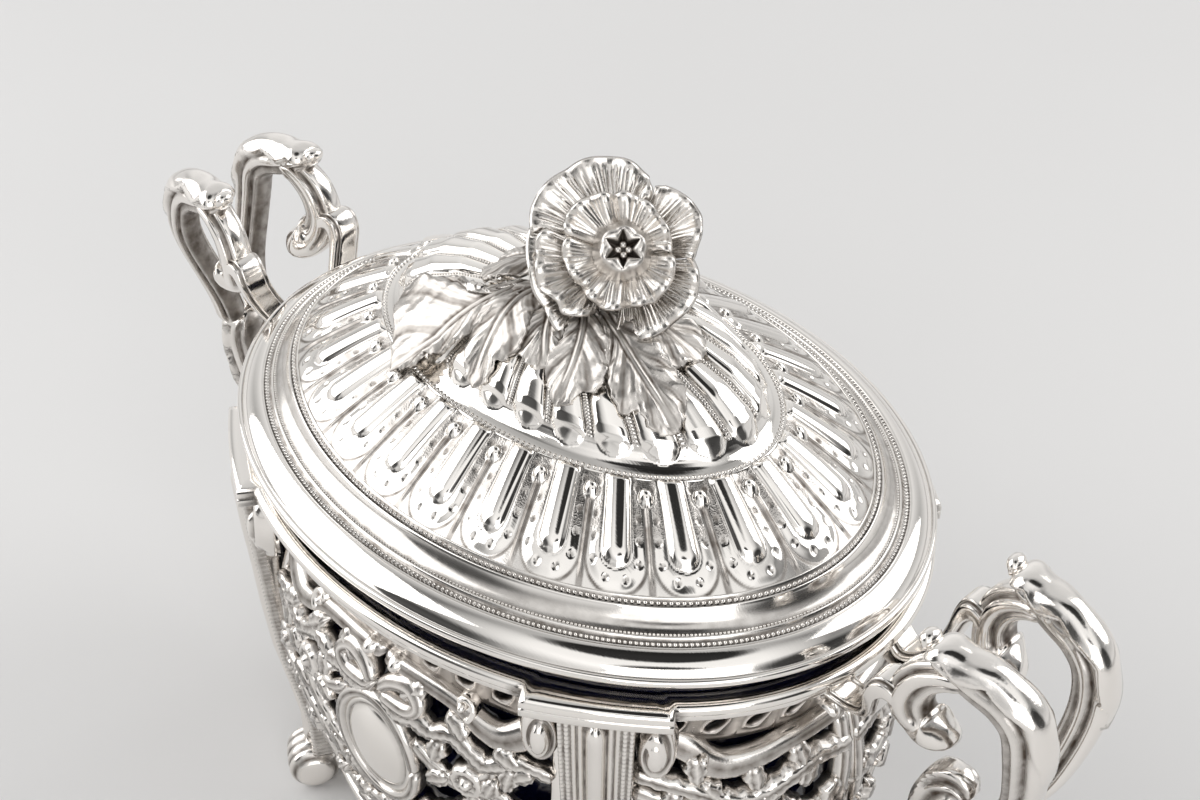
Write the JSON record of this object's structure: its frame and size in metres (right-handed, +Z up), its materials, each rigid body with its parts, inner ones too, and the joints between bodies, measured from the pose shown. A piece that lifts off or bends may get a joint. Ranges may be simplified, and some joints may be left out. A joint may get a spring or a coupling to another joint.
{
  "type": "covered sugar bowl",
  "caption": "Oval covered sugar bowl with an openwork silver frame, scroll feet, paired scroll handles, a lift-out blue glass liner and a flower-topped lid.",
  "frame": {"origin": "on the table, under the middle of the bowl", "axes": "+X along the length, towards the right-hand pair of handles; +Y across, towards the rear; +Z up"},
  "size_m": [0.209, 0.106, 0.1457],
  "materials": {
    "polished_silver": "polished silver, toned in the recesses",
    "toned_silver": "silver with a grey-brown tone",
    "cobalt_glass": "clear cobalt-blue glass",
    "brass": "plain brass nut"
  },
  "bodies": {
    "bowl": {"rim_frame": "polished_silver", "frieze_band": "toned_silver", "side_panel_front": "polished_silver", "medallion_front": "polished_silver", "side_panel_rear": "polished_silver", "medallion_rear": "polished_silver", "end_panel_right": "polished_silver", "end_panel_left": "polished_silver", "base_band": "polished_silver", "base_plate": "toned_silver", "leg_front_right": "polished_silver", "leg_rear_right": "polished_silver", "leg_front_left": "polished_silver", "leg_rear_left": "polished_silver", "handle_branch_front_right": "polished_silver", "handle_branch_rear_right": "polished_silver", "handle_branch_front_left": "polished_silver", "handle_branch_rear_left": "polished_silver", "handle_scroll_right": "polished_silver", "handle_scroll_left": "polished_silver"},
    "liner": {"glass_liner": "cobalt_glass"},
    "lid": {"lid_shell": "polished_silver", "lid_seat_ring": "polished_silver", "lid_bezel": "polished_silver", "finial_stem": "polished_silver", "finial_leaf_1": "polished_silver", "finial_leaf_2": "polished_silver", "finial_leaf_3": "polished_silver", "finial_leaf_4": "polished_silver", "finial_leaf_5": "polished_silver", "finial_leaf_6": "polished_silver", "finial_leaf_7": "polished_silver", "flower_outer_petals": "polished_silver", "flower_inner_petals": "polished_silver", "flower_centre": "polished_silver", "finial_nut": "brass"}
  },
  "joints": [
    {"name": "liner_lift", "type": "slide", "parent": "bowl", "child": "liner", "axis": [0, 0, 1], "range_m": [0, 0.085]},
    {"name": "lid_lift", "type": "slide", "parent": "liner", "child": "lid", "axis": [0, 0, 1], "range_m": [0, 0.06]}
  ]
}
